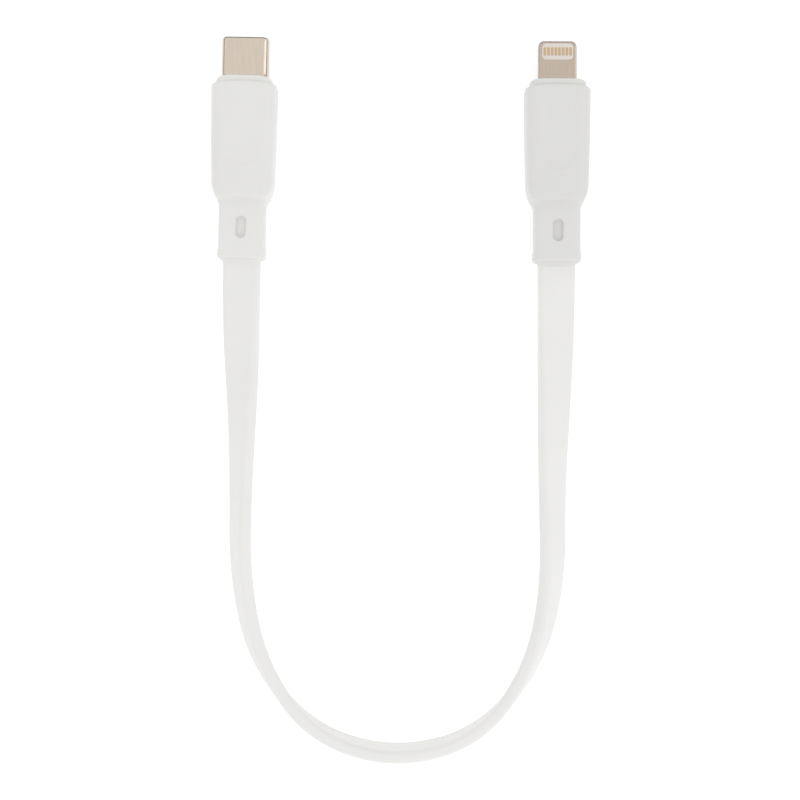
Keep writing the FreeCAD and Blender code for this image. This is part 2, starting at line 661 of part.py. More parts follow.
def cord_stations(edges, middles):
    """Frames along the cord: (point, across, up), where across points to the cord's inner edge."""
    stations, travelled = [], 0.0
    rise = Vector(0, 0, 1)
    for edge in edges:
        bent = edge.Curve.TypeId == "Part::GeomCircle"
        steps = math.ceil(math.degrees(edge.Length / edge.Curve.Radius) / ARC_STEP) if bent else 0
        steps = max(1, steps, math.ceil(edge.Length / RUN_STEP))
        last = edge is edges[-1]
        for step in range(steps + last):
            along = edge.Length * step / steps
            parameter = edge.getParameterByLength(along)
            ahead = edge.tangentAt(parameter)
            inner = rise.cross(ahead)
            turn = math.radians(twist_at(travelled + along, middles))
            across = inner * math.cos(turn) + rise * math.sin(turn)
            up = rise * math.cos(turn) - inner * math.sin(turn)
            stations.append((edge.valueAt(parameter), across, up))
        travelled += edge.Length
    return stations


def flat_section(station, wide, thick, corner):
    """The cord's rounded flat outline at one station, as a wire."""
    point, across, up = station
    half_w, half_t = wide / 2, thick / 2
    flat_w, flat_t = half_w - corner, half_t - corner
    slant = corner * math.sqrt(0.5)

    def spot(x, y):
        return point + across * x + up * y

    edges = []
    for sx, sy in ((1, 1), (-1, 1), (-1, -1), (1, -1)):
        side = spot(sx * half_w, sy * flat_t)
        face = spot(sx * flat_w, sy * half_t)
        bulge = spot(sx * (flat_w + slant), sy * (flat_t + slant))
        start, end = (side, face) if sx * sy > 0 else (face, side)
        if edges:
            edges.append(Part.LineSegment(edges[-1].lastVertex().Point, start).toShape())
        edges.append(Part.Arc(start, bulge, end).toShape())
    edges.append(Part.LineSegment(edges[-1].lastVertex().Point, edges[0].firstVertex().Point).toShape())
    return Part.Wire(edges)


def round_section(station, offset, rise, radius):
    """A circle round a wire at one station, offset across the cord."""
    point, across, up = station
    centre = point + across * offset + Vector(0, 0, rise)
    circle = Part.Circle(centre, across.cross(up), radius)
    circle.XAxis = across
    return Part.Wire(circle.toShape())


def skin(sections):
    """The ruled faces between each section and the next."""
    faces = []
    for near, far in zip(sections, sections[1:]):
        faces += Part.makeLoft([near, far], False, True).Faces
    return faces


def tube_solid(outer, holes):
    """A solid skin of outer sections with a bore along each list of hole sections."""
    faces = skin(outer)
    for hole in holes:
        faces += skin(hole)
    for end in (0, -1):
        faces.append(Part.makeFace([outer[end]] + [hole[end] for hole in holes], "Part::FaceMakerBullseye"))
    shell = Part.makeShell(faces)
    shell.sewShape()
    solid = Part.makeSolid(shell)
    return solid if solid.Volume > 0 else solid.reversed()


def keep_cord(name, shape):
    """Register one of the cord's long solids."""
    feature = doc.addObject("Part::Feature", name)
    feature.Label = name
    feature.Shape = shape
    feature.Placement = Placement()
    nodes.append(feature)


def lead_in(plug, reach):
    """Frames inside a plug, from reach back to the mould's rear, each with the wires' rise there."""
    place = plug_place(plug)
    inner_side = Vector(1, 0, 0) if plug == "c" else Vector(-1, 0, 0)
    across = place.Rotation.multVec(inner_side)
    frames = []
    stops = [(SIZES["lead_end"], SIZES["lead_rise"]), (SIZES["mould_start"], SIZES["mould_rise"])]
    if reach > SIZES["lead_end"]:
        stops.insert(0, (reach, SIZES["lead_rise"]))
    for along, rise in stops:
        point = place.multVec(Vector(0, along, 0))
        frames.append(((point, across, Vector(0, 0, 1)), rise))
    return frames


def wire_sections(stations, reach, offset, radius):
    """Circles along the whole wire, from one board to the other."""
    frames = lead_in("c", reach)
    frames += [(station, 0.0) for station in stations]
    frames += reversed(lead_in("e", reach))
    return [round_section(station, offset, rise, radius) for station, rise in frames]


def make_cord():
    """The flat jacket with four bores, and an insulation tube and a copper core in each of them."""
    edges, radii, middles = cord_path()
    stations = cord_stations(edges, middles)
    wide, thick = SIZES["cord_width"], SIZES["cord_thick"]
    corner, gap = SIZES["cord_corner"], SIZES["wire_gap"]
    wires = (("power", SIZES["power_offset"], "power"), ("data_plus", SIZES["data_offset"], "data"),
             ("data_minus", -SIZES["data_offset"], "data"), ("ground", -SIZES["power_offset"], "power"))
    outer = [flat_section(station, wide, thick, corner) for station in stations]
    bores = []
    for word, offset, kind in wires:
        radius = SIZES[f"{kind}_wire"] / 2
        core = SIZES[f"{kind}_core"] / 2
        bores.append([round_section(station, offset, 0, radius + gap) for station in stations])
        outside = wire_sections(stations, SIZES["lead_end"], offset, radius)
        inside = wire_sections(stations, SIZES["lead_end"], offset, core + gap)
        copper = wire_sections(stations, SIZES["core_end"], offset, core)
        keep_cord(f"{word}_wire_insulation", tube_solid(outside, [inside]))
        keep_cord(f"{word}_wire_core", tube_solid(copper, []))
    jacket = tube_solid(outer, bores)
    keep_cord("cord_jacket", jacket)
    length = sum(edge.Length for edge in edges)
    seen = length - 2 * SIZES["cord_in_neck"]
    section = Part.makeFace([outer[0]] + [bore[0] for bore in bores], "Part::FaceMakerBullseye").Area
    print("bend radii, mm:", ", ".join(f"{radius:.0f}" for radius in radii))
    print(f"cord length {length:.1f} mm, {seen:.1f} mm of it outside the necks")
    print(f"jacket volume {jacket.Volume:.1f} mm3, section times length {section * length:.1f} mm3")


# ---------------------------------------------------------------- the whole cable

def make_type_c_plug():
    make_type_c_shell()
    make_type_c_insulator()
    make_spring_row("type_c_contacts_upper", TYPE_C_UPPER_PINS, 1)
    make_spring_row("type_c_contacts_lower", TYPE_C_LOWER_PINS, -1)
    make_latch("type_c_latch_left", -1)
    make_latch("type_c_latch_right", 1)
    make_board("c", "type_c_circuit_board", size("board_end"))
    make_chips("c", "type_c_board_parts", TYPE_C_CHIPS)
    make_solder("c", "type_c_solder_joints")
    make_can_half("c", "type_c_shield_top", 1)
    make_can_half("c", "type_c_shield_bottom", -1)
    make_inner_mould("c", "type_c_inner_mould", size("shell_width"), size("shell_thick"),
                     size("shell_corner"))
    make_grip("c", "type_c_grip")
    make_strain_relief("c", "type_c_strain_relief")


def make_eight_pin_plug():
    make_tab_frame()
    make_contact_carrier()
    group("eight_pin_contacts_upper", contact_pads("upper_pad", 1, 0), "e")
    group("eight_pin_contacts_lower", contact_pads("lower_pad", -1, 0), "e")
    make_board("e", "eight_pin_circuit_board", size("root_start") - size("tab_root_gap"),
               window_middle() + size("nose_past"))
    make_chips("e", "eight_pin_board_parts", EIGHT_PIN_CHIPS)
    make_solder("e", "eight_pin_solder_joints")
    make_can_half("e", "eight_pin_shield_top", 1)
    make_can_half("e", "eight_pin_shield_bottom", -1)
    make_inner_mould("e", "eight_pin_inner_mould", size("tab_width"), size("tab_thick"),
                     size("tab_edge"))
    make_grip("e", "eight_pin_grip")
    make_strain_relief("e", "eight_pin_strain_relief")


def check_everything():
    """Stop on any object that failed, and on any sub-part without a valid solid."""
    for thing in doc.Objects:
        if "Invalid" in thing.State or "Error" in thing.State:
            raise RuntimeError(f"{thing.Label} failed: {thing.State}")
    for node in nodes:
        if node.Shape.isNull() or not node.Shape.isValid() or not node.Shape.Solids:
            raise RuntimeError(f"{node.Label} has no valid solid")


def write_parts():
    os.makedirs("parts", exist_ok=True)
    for node in nodes:
        node.Shape.exportStep(f"parts/{node.Label}.step")


def main():
    fill_sheet()
    make_type_c_plug()
    make_eight_pin_plug()
    doc.recompute()
    make_cord()
    doc.recompute()
    check_everything()
    write_parts()
    for node in nodes:
        print(f"{node.Label}: {len(node.Shape.Solids)} solids, {node.Shape.Volume:.2f} mm3")


main()
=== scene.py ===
"""The looks of a short flat charging cable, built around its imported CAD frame.

Places are metres in the CAD frame. What belongs to a plug is drawn in millimetres in the plug's own
frame: x across it, y from the cord towards its tip, z up, all from the middle of its neck's rear end.
"""

import json
import math

import bmesh
import bpy
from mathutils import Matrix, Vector


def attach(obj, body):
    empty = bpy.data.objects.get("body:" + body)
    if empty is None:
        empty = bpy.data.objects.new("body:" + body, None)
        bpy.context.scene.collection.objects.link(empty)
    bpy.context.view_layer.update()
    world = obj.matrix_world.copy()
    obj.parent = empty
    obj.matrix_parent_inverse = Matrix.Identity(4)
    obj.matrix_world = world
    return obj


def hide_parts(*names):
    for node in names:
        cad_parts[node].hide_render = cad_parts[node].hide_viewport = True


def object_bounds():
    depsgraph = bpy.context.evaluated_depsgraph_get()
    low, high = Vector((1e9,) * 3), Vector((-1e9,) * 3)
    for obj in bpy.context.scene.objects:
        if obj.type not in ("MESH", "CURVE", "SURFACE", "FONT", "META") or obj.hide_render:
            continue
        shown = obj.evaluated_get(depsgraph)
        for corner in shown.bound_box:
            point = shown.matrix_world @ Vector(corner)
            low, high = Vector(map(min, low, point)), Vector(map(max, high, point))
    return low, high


MM = 0.001
UP = Vector((0, 0, 1))
SHARP_ANGLE = math.radians(40)

# The camera looks straight down on the cable, and sees this width at the height of the cord's line.
VIEW_WIDTH = 0.1401
CAMERA_HEIGHT = 0.193
SENSOR_WIDTH = 36  # millimetres, as Blender counts it

# The cord: a flat jacket laid in a loop, half of it turned on its edge round the bend.
# The section is in millimetres; the height of its line, its length and its route are in metres.
CORD_WIDTH = 6.5
CORD_THICKNESS = 2.2
CORD_CORNER = 0.8
CORD_HEIGHT = 0.00325
ROUTE = (
    (-0.027575, -0.01311), (-0.02787, -0.0285), (-0.0276, -0.044), (-0.0279, -0.059),
    (-0.0281, -0.0745), (-0.025, -0.0895), (-0.0157, -0.102), (-0.0007, -0.1066),
    (0.0144, -0.1024), (0.0238, -0.0897), (0.0269, -0.075), (0.0266, -0.06),
    (0.027, -0.0445), (0.02736, -0.029), (0.02741, -0.0137),
)
# How far the jacket is turned about its own line at each point of the route, in degrees.
TURNS = (0, 9, 44, 62, 64, 69, 84, 89, 84, 68, 56, 51, 34, 12, 0)
# Each end of the jacket lies flat for this length, and takes up its turn over as much again.
FLAT_END = 0.0065
SPLINE_STEPS = 24
CORD_STEPS = (12, 6, 2)

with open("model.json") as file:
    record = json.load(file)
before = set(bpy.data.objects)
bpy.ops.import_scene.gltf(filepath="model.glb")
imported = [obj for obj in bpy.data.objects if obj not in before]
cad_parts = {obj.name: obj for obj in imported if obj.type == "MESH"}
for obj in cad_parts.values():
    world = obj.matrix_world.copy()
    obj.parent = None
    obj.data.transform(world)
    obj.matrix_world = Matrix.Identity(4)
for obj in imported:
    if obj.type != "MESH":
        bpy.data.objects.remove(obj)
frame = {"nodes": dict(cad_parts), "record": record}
CAD_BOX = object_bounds()


def blend(low, high, share):
    """From low to high as share goes from 0 to 1."""
    return low + (high - low) * share


def smooth(share):
    """A share from 0 to 1 that starts and ends gently."""
    share = min(max(share, 0), 1)
    return share * share * (3 - 2 * share)


class Plug:
    """One plug's own frame, found from its mount and from where its neck ends."""

    def __init__(self, kind):
        self.kind = kind
        mounts = {mount["name"]: mount for mount in frame["record"]["mounts"]}
        mount = mounts[f"{kind}_plug"]
        self.ahead = Vector(mount["axis"]).normalized()
        self.right = self.ahead.cross(UP)
        self.origin = Vector(mount["pos_m"])
        self.origin += self.ahead * self.span(f"{kind}_strain_relief")[0].y * MM

    def place(self, x, y, z):
        """A point of the plug's frame, in millimetres, as a place in the CAD frame."""
        return self.origin + (self.right * x + self.ahead * y + UP * z) * MM

    def span(self, node):
        """The lowest and the highest corner of a CAD node in the plug's frame."""
        places = [vertex.co - self.origin for vertex in frame["nodes"][node].data.vertices]
        axes = (self.right, self.ahead, UP)
        low = Vector([min(place.dot(axis) for place in places) for axis in axes])
        high = Vector([max(place.dot(axis) for place in places) for axis in axes])
        return low / MM, high / MM


# ---------------------------------------------------------------------------- materials


class Finish:
    """A procedural material: a Principled shader and the textures that feed it."""

    def __init__(self, name, roughness, **sockets):
        self.material = bpy.data.materials.new(name)
        self.material.use_nodes = True
        self.tree = self.material.node_tree
        self.shader = self.tree.nodes["Principled BSDF"]
        self.shader.inputs["Roughness"].default_value = roughness
        for socket, value in sockets.items():
            self.shader.inputs[socket.replace("_", " ")].default_value = value
        self.place = self.tree.nodes.new("ShaderNodeTexCoord").outputs["Object"]

    def feed(self, source, target):
        """Links an output to an input."""
        self.tree.links.new(source, target)

    def grain(self, size, stretch=(1, 1, 1), detail=3):
        """Noise whose lumps are about size millimetres, drawn out along an axis by its stretch."""
        mapping = self.tree.nodes.new("ShaderNodeMapping")
        mapping.inputs["Scale"].default_value = [1 / (size * MM * factor) for factor in stretch]
        self.feed(self.place, mapping.inputs["Vector"])
        noise = self.tree.nodes.new("ShaderNodeTexNoise")
        noise.inputs["Scale"].default_value = 1
        noise.inputs["Detail"].default_value = detail
        self.feed(mapping.outputs["Vector"], noise.inputs["Vector"])
        return noise.outputs["Fac"]

    def tint(self, source, dark, light, low=0.3, high=0.7):
        """The base colour, from dark to light as the source goes from low to high."""
        ramp = self.tree.nodes.new("ShaderNodeValToRGB")
        for stop, position, colour in zip(ramp.color_ramp.elements, (low, high), (dark, light)):
            stop.position = position
            stop.color = (*colour, 1)
        self.feed(source, ramp.inputs["Fac"])
        self.feed(ramp.outputs["Color"], self.shader.inputs["Base Color"])
        return self

    def shine(self, source, low, high):
        """The roughness, from low to high over the source's usual range."""
        spread = self.tree.nodes.new("ShaderNodeMapRange")
        spread.inputs["From Min"].default_value = 0.3
        spread.inputs["From Max"].default_value = 0.7
        spread.inputs["To Min"].default_value = low
        spread.inputs["To Max"].default_value = high
        self.feed(source, spread.inputs["Value"])
        self.feed(spread.outputs["Result"], self.shader.inputs["Roughness"])
        return self

    def relief(self, *layers):
        """Bumps: each layer is a source and its height in millimetres."""
        below = None
        for source, height in layers:
            bump = self.tree.nodes.new("ShaderNodeBump")
            bump.inputs["Distance"].default_value = height * MM
            self.feed(source, bump.inputs["Height"])
            if below is not None:
                self.feed(below, bump.inputs["Normal"])
            below = bump.outputs["Normal"]
        self.feed(below, self.shader.inputs["Normal"])
        return self


def shades(colour, spread):
    """A darker and a lighter shade of a colour."""
    return [[min(channel * (1 + sign * spread), 1) for channel in colour] for sign in (-1, 1)]


def moulded(name, colour, roughness, pores, flow, spread=0.012):
    """Moulded plastic: slow flow marks, a fine spark-eroded grain and a gloss that varies a little."""
    finish = Finish(name, roughness, IOR=1.5)
    flow_marks = finish.grain(flow, stretch=(1, 1.8, 1), detail=4)
    fine = finish.grain(pores, detail=2)
    finish.tint(flow_marks, *shades(colour, spread))
    finish.shine(finish.grain(1.4, detail=6), roughness - 0.05, roughness + 0.06)
    finish.relief((flow_marks, 0.02), (fine, 0.004))
    return finish.material


def drawn_metal(name, colour, roughness, spread=0.035):
    """Worked metal: fine streaks along Y, the way the plugs point, and a few handling marks."""
    finish = Finish(name, roughness, Metallic=1.0)
    streaks = finish.grain(0.3, stretch=(1, 14, 1), detail=2)
    marks = finish.grain(2, stretch=(1, 2, 1), detail=3)
    finish.tint(streaks, *shades(colour, spread), low=0.25, high=0.75)
    finish.shine(marks, roughness - 0.05, roughness + 0.06)
    finish.relief((marks, 0.002), (streaks, 0.0006))
    return finish.material


def jacket_finish(name, colour):
    """Extruded soft jacket: slow faint waves and a fine grain on a satin skin."""
    finish = Finish(name, 0.5, IOR=1.5)
    waves = finish.grain(9, detail=3)
    skin = finish.grain(0.35, detail=6)
    finish.tint(waves, *shades(colour, 0.01))
    finish.shine(finish.grain(2, detail=5), 0.44, 0.56)
    finish.relief((waves, 0.03), (skin, 0.006))
    return finish.material


def board_finish(name):
    """Green solder mask over a woven glass board."""
    finish = Finish(name, 0.35, IOR=1.5, Coat_Weight=0.3)
    weave = finish.grain(0.5, stretch=(1, 3, 1), detail=2)
    finish.tint(finish.grain(1.2, detail=4), (0.012, 0.11, 0.04), (0.02, 0.2, 0.07))
    finish.shine(weave, 0.28, 0.42)
    finish.relief((weave, 0.01))
    return finish.material


# Colour, roughness, and the sizes of the pores and of the flow marks in millimetres.
PLASTICS = {
    "white_grip": ((0.738, 0.733, 0.718), 0.42, 0.22, 7),
    "white_soft": ((0.745, 0.74, 0.725), 0.5, 0.18, 5),
    "white_collar": ((0.75, 0.75, 0.73), 0.35, 0.2, 4),
    "white_insulator": ((0.70, 0.645, 0.595), 0.38, 0.15, 2),
    "dark_insulator": ((0.035, 0.035, 0.04), 0.45, 0.15, 2),
    "chip_black": ((0.025, 0.025, 0.028), 0.55, 0.08, 1),
    "red_insulation": ((0.45, 0.03, 0.025), 0.45, 0.2, 3),
    "green_insulation": ((0.03, 0.24, 0.07), 0.45, 0.2, 3),
    "white_insulation": ((0.75, 0.75, 0.72), 0.45, 0.2, 3),
    "black_insulation": ((0.02, 0.02, 0.022), 0.45, 0.2, 3),
}
# Colour and roughness.
METALS = {
    "connector_metal": ((0.655, 0.568, 0.482), 0.2),
    "tab_metal": ((0.54, 0.456, 0.375), 0.24),
    "spring_steel": ((0.55, 0.54, 0.52), 0.3),
    "tin_steel": ((0.6, 0.6, 0.61), 0.38),
    "gold_contact": ((0.62, 0.43, 0.24), 0.26),
    "solder": ((0.62, 0.62, 0.63), 0.3),
    "copper": ((0.72, 0.36, 0.2), 0.32),
}

# Painted shade: the eight-pin plug's mouldings are the same plastics as the type C plug's, drawn a shade
# darker to stand in for the dimmer light on that plug.
PAINTED_SHADE_WHITES = ("white_grip", "white_soft", "white_collar")
FAR_PLUG_PAINTED_SHADE = 0.93


def make_finishes():
    """Every material slot of the record, by its name."""
    finishes = {}
    for name, (colour, roughness, pores, flow) in PLASTICS.items():
        finishes[name] = moulded(name, colour, roughness, pores, flow)
    for name, (colour, roughness) in METALS.items():
        finishes[name] = drawn_metal(name, colour, roughness)
    # Copies of the whites darkened by painted shade, for the eight-pin plug.
    for name in PAINTED_SHADE_WHITES:
        colour, *rest = PLASTICS[name]
        painted_shade_colour = [channel * FAR_PLUG_PAINTED_SHADE for channel in colour]
        finishes[f"far_{name}"] = moulded(f"far_{name}", painted_shade_colour, *rest)
    finishes["cord_jacket"] = jacket_finish("cord_jacket", (0.775, 0.77, 0.755))
    finishes["circuit_board"] = board_finish("circuit_board")
    return finishes


# ---------------------------------------------------------------------------- mesh building


def section(half_width, half_height, corner, steps):
    """Points (x, z) once round a rounded rectangle, from the left end of its flat top.

    The first half goes over the top and down the right side; the second is the first, turned round.
    """
    flat, bend, side = steps
    inner_x, inner_z = half_width - corner, half_height - corner
    angles = [math.pi / 2 * k / bend for k in range(bend)]
    half = [(blend(-inner_x, inner_x, k / flat), half_height) for k in range(flat)]
    half += [(inner_x + corner * math.sin(a), inner_z + corner * math.cos(a)) for a in angles]
    half += [(half_width, blend(inner_z, -inner_z, k / side)) for k in range(side)]
    half += [(inner_x + corner * math.cos(a), -inner_z - corner * math.sin(a)) for a in angles]
    return half + [(-x, -z) for x, z in half]


# How far the mesh of a flat face is laid anew beyond a recess's rim, in millimetres.
RECESS_MARGIN = 0.5


class Recess:
    """A long round-ended hollow in a flat face: where it is, how big, and its section.

    The section is a list of steps inwards from the rim with the depth reached there.
    """

    def __init__(self, side, middle, half_width, half_length, profile):
        self.side = side
        self.middle = middle
        self.half_width = half_width
        self.spine = half_length - half_width
        self.profile = profile

    def ray(self, x, y):
        """The foot on the recess's spine of a point, and the way from there to the point."""
        foot = Vector((0, min(max(y, self.middle - self.spine), self.middle + self.spine)))
        return foot, (Vector((x, y)) - foot).normalized()


class Skin:
    """A closed sleeve of quads: one row of points for each station, the last joined to the first.

    A station is y, half the width, half the height and the corner's radius. The first stations, as many
    as outside says, are the sleeve's outside, and the rest are its bore. The shape bends each point.
    """

    def __init__(self, plug, stations, steps, outside, shape):
        self.plug = plug
        self.shape = shape
        self.steps = steps
        self.outside = outside
        self.mesh = bmesh.new()
        self.spots = []
        self.rows = []
        for y, half_width, half_height, corner in stations:
            spots = [(x, y, z) for x, z in section(half_width, half_height, corner, steps)]
            self.spots.append(spots)
            self.rows.append([self.vertex(*spot) for spot in spots])

    def vertex(self, x, y, z):
        """A new point of the mesh, given in the plug's frame."""
        return self.mesh.verts.new(self.plug.place(*self.shape(x, y, z)))

    def band(self, near, far, left_out=()):
        """Quads from one row to the next, without the columns that are left out."""
        count = len(near)
        for k in range(count):
            if k not in left_out:
                after = (k + 1) % count
                self.mesh.faces.new((near[k], near[after], far[after], far[k]))

    def close(self, recesses=()):
        """Adds the faces, with each recess in place of the flat faces round it."""
        flat = self.steps[0]
        half = len(self.rows[0]) // 2
        holes = []
        for recess in recesses:
            reach = recess.spine + recess.half_width + RECESS_MARGIN
            inside = [
                k for k, spots in enumerate(self.spots)
                if abs(spots[0][1] - recess.middle) < reach and k < self.outside
            ]
            start = 0 if recess.side > 0 else half
            holes.append((recess, inside[0], inside[-1], start, start + flat))
        for k, row in enumerate(self.rows):
            left_out = set()
            for recess, first, last, left, right in holes:
                if first <= k < last:
                    left_out.update(range(left, right))
            self.band(row, self.rows[(k + 1) % len(self.rows)], left_out)
        for hole in holes:
            self.fill(*hole)

    def fill(self, recess, first, last, left, right):
        """Rings of quads from the edge of a hole to a recess's rim, and down into the recess."""
        edge = [(first, column) for column in range(left, right)]
        edge += [(row, right) for row in range(first, last)]
        edge += [(last, column) for column in range(right, left, -1)]
        edge += [(row, left) for row in range(last, first, -1)]
        outer = [self.rows[row][column] for row, column in edge]
        spots = [self.spots[row][column] for row, column in edge]
        height = abs(spots[0][2])
        rays = [recess.ray(x, y) for x, y, _ in spots]
        rims = [foot + way * recess.half_width for foot, way in rays]
        # The rings crowd together towards the rim, so that the flat face shades evenly up to it.
        loops = []
        for share in (0.35, 0.65, 0.85, 0.95):
            flat_loop = [Vector(spot[:2]).lerp(rim, share) for spot, rim in zip(spots, rims)]
            loops.append([(*point, height) for point in flat_loop])
        for inwards, depth in recess.profile:
            reach = recess.half_width - inwards
            loops.append([(*(foot + way * reach), height - depth) for foot, way in rays])
        for loop in loops:
            inner = [self.vertex(x, y, z * recess.side) for x, y, z in loop]
            self.band(outer, inner)
            outer = inner
        self.mesh.faces.new(outer)

    def finish(self, name):
        """The object of the sleeve."""
        bmesh.ops.recalc_face_normals(self.mesh, faces=self.mesh.faces)
        return add_mesh(name, self.mesh)


def add_mesh(name, mesh):
    """A smooth-shaded object of a bmesh."""
    data = bpy.data.meshes.new(name)
    mesh.to_mesh(data)
    mesh.free()
    data.shade_smooth()
    data.set_sharp_from_angle(angle=SHARP_ANGLE)
    piece = bpy.data.objects.new(name, data)
    bpy.context.scene.collection.objects.link(piece)
    return piece


def dress(piece, slot, finishes, *nodes):
    """Gives a new piece its finish, its body and the CAD nodes that it stands for."""
    # The eight-pin plug's whites take the copies darkened by painted shade.
    far = nodes[0].startswith("eight_pin") and slot in PAINTED_SHADE_WHITES
    piece.data.materials.append(finishes[f"far_{slot}" if far else slot])
    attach(piece, "root")
    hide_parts(*nodes)
    return piece


# ---------------------------------------------------------------------------- the cord


def spline_points(points):
    """Points along the NURBS spline that has these control points."""
    curve = bpy.data.curves.new("route", "CURVE")
    curve.dimensions = "3D"
    curve.resolution_u = SPLINE_STEPS
    spline = curve.splines.new("NURBS")
    spline.points.add(len(points) - 1)
    for point, place in zip(spline.points, points):
        point.co = (*place, 1)
    spline.order_u = 3
    spline.use_endpoint_u = True
    holder = bpy.data.objects.new("route", curve)
    mesh = bpy.data.meshes.new_from_object(holder)
    line = [vertex.co.copy() for vertex in mesh.vertices]
    bpy.data.objects.remove(holder)
    bpy.data.curves.remove(curve)
    bpy.data.meshes.remove(mesh)
    return line


def make_jacket():
    """The flat jacket as a tube along the route, turned about its own line, and that line."""
    line = spline_points([(x, y, CORD_HEIGHT) for x, y in ROUTE])
    turns = spline_points([(turn, 0, 0) for turn in TURNS])
    steps = [0]
    for before, after in zip(line, line[1:]):
        steps.append(steps[-1] + (after - before).length)
    outline = section(CORD_WIDTH / 2, CORD_THICKNESS / 2, CORD_CORNER, CORD_STEPS)
    mesh = bmesh.new()
    rows = []
    for k, (middle, turn, travelled) in enumerate(zip(line, turns, steps)):
        ahead = (line[min(k + 1, len(line) - 1)] - line[max(k - 1, 0)]).normalized()
        inner = UP.cross(ahead)
        from_end = min(travelled, steps[-1] - travelled)
        angle = math.radians(turn.x) * smooth((from_end - FLAT_END) / FLAT_END)
        across = inner * math.cos(angle) + UP * math.sin(angle)
        rise = UP * math.cos(angle) - inner * math.sin(angle)
        rows.append([mesh.verts.new(middle + (across * x + rise * z) * MM) for x, z in outline])
    for near, far in zip(rows, rows[1:]):
        for k in range(len(outline)):
            after = (k + 1) % len(outline)
            mesh.faces.new((near[k], near[after], far[after], far[k]))
    mesh.faces.new(rows[0])
    mesh.faces.new(rows[-1])
    bmesh.ops.recalc_face_normals(mesh, faces=mesh.faces)
    return add_mesh("jacket", mesh), line


# ---------------------------------------------------------------------------- the plugs


def along(start, end, step):
    """Evenly spaced stations from start to end, about a step apart."""
    count = max(1, round((end - start) / step))
    return [blend(start, end, k / count) for k in range(count + 1)]


# Sizes of the plugs' pieces, in millimetres. EDGE is how far an end is rounded, and STEPS says how many
# quads go along the flat top, round a corner and down a side.
GRIP_HALF_WIDTH = 5.68
GRIP_REAR_HALF_WIDTH = 4.03
GRIP_CORNER = 2.0
GRIP_REAR = 9.95
GRIP_RISE = 0.85
GRIP_FRONT = 30.6
GRIP_EDGE = 0.4
GRIP_STEPS = (30, 9, 6)
SHOULDER_START = 9.4
SHOULDER_LENGTH = 4
SHOULDER_WIDTH = 1.35
SWELL_START = 13.3
SWELL_LENGTH = 17.2
SWELL_WIDTH = 0.3
CROWN = 0.1
BOW = 0.4
BOW_START = 26
BOW_LENGTH = 4

PANEL_MIDDLE = 22.6
PANEL_HALF_WIDTH = 2.95
PANEL_HALF_LENGTH = 7.0
PANEL_DEPTH = 0.17

NECK_HALF_HEIGHT = 2.3
NECK_CORNER = 1.25
NECK_EDGE = 0.5
NECK_STEPS = (20, 8, 4)
LIP_WIDTH = 0.13
LIP_LENGTH = 1.3
LIP_RUN_OUT = 0.9
BOSS_LENGTH = 0.8

DIMPLE_MIDDLE = 5.45
DIMPLE_HALF_WIDTH = 0.9
DIMPLE_HALF_LENGTH = 1.95
DIMPLE_DEPTH = 0.75

COLLAR_FRONT = 31.55
COLLAR_HALF_WIDTH = 5.0
COLLAR_HALF_HEIGHT = 2.7
COLLAR_CORNER = 1.5
COLLAR_EDGE = 0.35
COLLAR_STEPS = (24, 7, 4)
# Half the width, half the height and the corner's radius of the metal that comes out of each collar.
TIPS = {"type_c": (4.14, 1.21, 1.15), "eight_pin": (3.37, 0.76, 0.36)}

TUBE_CORNER = 1.15
TUBE_WALL = 0.3
TUBE_LIP = 0.45
TUBE_FLARE = 0.15
TUBE_STEPS = (16, 12, 1)


def straight(x, y, z):
    """The shape of a piece that stays as its stations are."""
    return x, y, z


def crowned(x, y, z):
    """The shape of the plugs' soft pieces, whose broad faces fall towards their edges."""
    return x, y, z * (1 - CROWN * (x / GRIP_HALF_WIDTH) ** 2)


def bowed(x, y, z):
    """The crowned shape, with a front that bows back a little towards its corners."""
    x, y, z = crowned(x, y, z)
    share = smooth((y - BOW_START) / BOW_LENGTH)
    return x, y - BOW * (x / GRIP_HALF_WIDTH) ** 2 * share, z


def grip_width(y):
    """Half the grip's width: a slight swell from rear to front, and shoulders that run out at the rear."""
    if y > SHOULDER_START + SHOULDER_LENGTH:
        return GRIP_HALF_WIDTH - SWELL_WIDTH * max(0, 1 - (y - SWELL_START) / SWELL_LENGTH) ** 1.8
    share = min(max((y - SHOULDER_START) / SHOULDER_LENGTH, 0), 1)
    shoulder = 0.7 * math.sin(share * math.pi / 2) + 0.3 * smooth(share)
    return GRIP_REAR_HALF_WIDTH + SHOULDER_WIDTH * shoulder


